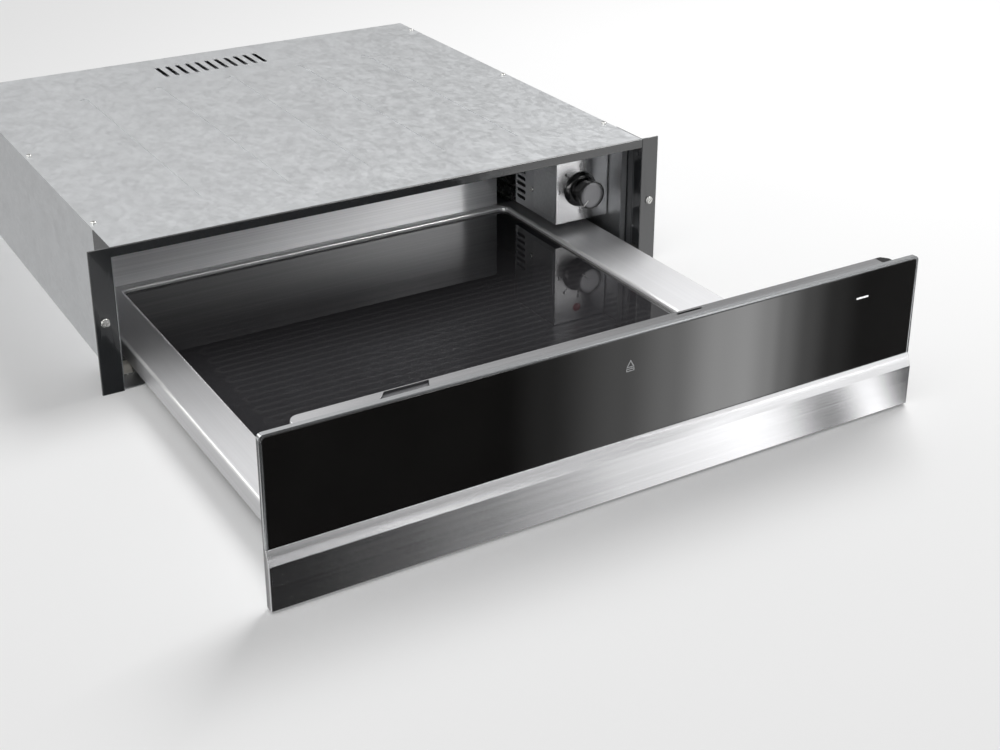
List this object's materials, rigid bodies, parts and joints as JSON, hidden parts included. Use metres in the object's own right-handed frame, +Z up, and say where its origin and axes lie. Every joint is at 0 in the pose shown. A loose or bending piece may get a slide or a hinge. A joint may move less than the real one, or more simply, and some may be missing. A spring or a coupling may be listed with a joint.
{
  "type": "warming drawer",
  "caption": "Built-in warming drawer: low heated glass tray on ball runners behind a tall dark glass and steel front, in a flat steel casing with a rotary heat control.",
  "frame": {"origin": "on the cabinet's front edge: the plane of the mounting flanges' rear faces, midway between the side walls, on the underside of the casing", "axes": "+X to the right seen from the front, +Y into the cabinet, +Z up; the drawer opens along -Y"},
  "size_m": [0.594, 0.918, 0.14],
  "materials": {
    "galvanised_steel": "zinc-coated sheet, faint spangle, satin",
    "dark_enamel": "smooth glossy dark grey enamel",
    "brushed_steel": "stainless, fine long brushing",
    "pale_aluminium": "satin anodised",
    "black_glass": "polished, black printed from behind, opaque",
    "black_plastic": "glossy moulded",
    "cream_plastic": "matt moulded",
    "white_plastic": "printed white",
    "clear_plastic": "milky light guide",
    "circuit_board": "coated board",
    "red_lens": "clear red moulded",
    "plated_steel": "bright zinc plating",
    "bare_foil": "bare satin foil, no print",
    "rubber": "matt silicone",
    "insulation": "pressed mineral fibre board",
    "heater_foil": "matt foil",
    "grey_plastic": "matt moulded"
  },
  "bodies": {
    "casing": {"casing_base": "galvanised_steel", "casing_top": "galvanised_steel", "casing_back": "galvanised_steel", "ceiling_plate": "galvanised_steel", "top_strip": "dark_enamel", "casing_screws": "plated_steel", "cable_gland": "black_plastic", "gland_nut": "black_plastic", "terminal_block": "cream_plastic", "control_box": "galvanised_steel", "control_panel": "brushed_steel", "blank_plate": "bare_foil", "control_screws": "plated_steel", "energy_regulator": "cream_plastic", "indicator_lens": "red_lens", "lamp_holder": "black_plastic", "guide_blocks": "cream_plastic", "latch_body": "black_plastic", "latch_spring": "plated_steel", "right_side_wall": "galvanised_steel", "left_side_wall": "galvanised_steel", "right_flange": "dark_enamel", "left_flange": "dark_enamel", "right_rail_bracket": "plated_steel", "left_rail_bracket": "plated_steel", "right_outer_rail": "plated_steel", "left_outer_rail": "plated_steel"},
    "drawer": {"tray_deck": "brushed_steel", "tray_pan": "galvanised_steel", "heated_plate": "black_glass", "plate_seal": "rubber", "heater_element": "heater_foil", "insulation_board": "insulation", "temperature_limiter": "heater_foil", "heater_terminals": "cream_plastic", "rear_panel": "brushed_steel", "rear_rivets": "plated_steel", "latch_striker": "brushed_steel", "inner_front_panel": "brushed_steel", "right_end_cap": "black_plastic", "front_frame": "pale_aluminium", "front_glass": "black_glass", "steel_panel": "brushed_steel", "light_guide": "clear_plastic", "light_board": "circuit_board", "front_screws": "plated_steel", "rubber_buffers": "rubber", "right_inner_rail": "plated_steel", "left_inner_rail": "plated_steel"},
    "right_middle": {"right_middle_rail": "plated_steel"},
    "left_middle": {"left_middle_rail": "plated_steel"},
    "right_outer_balls": {"right_outer_cage": "plated_steel"},
    "left_outer_balls": {"left_outer_cage": "plated_steel"},
    "right_inner_balls": {"right_inner_cage": "plated_steel"},
    "left_inner_balls": {"left_inner_cage": "plated_steel"},
    "knob": {"regulator_shaft": "plated_steel", "knob_body": "black_plastic", "knob_cap": "pale_aluminium", "knob_pointer": "white_plastic"},
    "plunger": {"latch_plunger": "grey_plastic"}
  },
  "joints": [
    {"name": "drawer_slide", "type": "slide", "parent": "casing", "child": "drawer", "axis": [0, -1, 0], "range_m": [-0.35, 0.05]},
    {"name": "right_middle_slide", "type": "slide", "parent": "casing", "child": "right_middle", "axis": [0, -1, 0], "range_m": [-0.175, 0.025]},
    {"name": "right_outer_balls_slide", "type": "slide", "parent": "casing", "child": "right_outer_balls", "axis": [0, -1, 0], "range_m": [-0.0875, 0.0125]},
    {"name": "right_inner_balls_slide", "type": "slide", "parent": "casing", "child": "right_inner_balls", "axis": [0, -1, 0], "range_m": [-0.2625, 0.0375]},
    {"name": "left_middle_slide", "type": "slide", "parent": "casing", "child": "left_middle", "axis": [0, -1, 0], "range_m": [-0.175, 0.025]},
    {"name": "left_outer_balls_slide", "type": "slide", "parent": "casing", "child": "left_outer_balls", "axis": [0, -1, 0], "range_m": [-0.0875, 0.0125]},
    {"name": "left_inner_balls_slide", "type": "slide", "parent": "casing", "child": "left_inner_balls", "axis": [0, -1, 0], "range_m": [-0.2625, 0.0375]},
    {"name": "knob_turn", "type": "hinge", "parent": "casing", "child": "knob", "pos_m": [0.2405, 0.055, 0.07215], "axis": [0, 1, 0], "range_deg": [-225, 90]},
    {"name": "plunger_press", "type": "slide", "parent": "casing", "child": "plunger", "axis": [0, 1, 0], "range_m": [0, 0.0034], "stiffness_N_per_m": 600, "springref_m": -0.004}
  ],
  "couplings": [
    {"joint": "right_middle_slide", "follows": "drawer_slide", "ratio": 0.5},
    {"joint": "right_outer_balls_slide", "follows": "drawer_slide", "ratio": 0.25},
    {"joint": "right_inner_balls_slide", "follows": "drawer_slide", "ratio": 0.75},
    {"joint": "left_middle_slide", "follows": "drawer_slide", "ratio": 0.5},
    {"joint": "left_outer_balls_slide", "follows": "drawer_slide", "ratio": 0.25},
    {"joint": "left_inner_balls_slide", "follows": "drawer_slide", "ratio": 0.75}
  ]
}
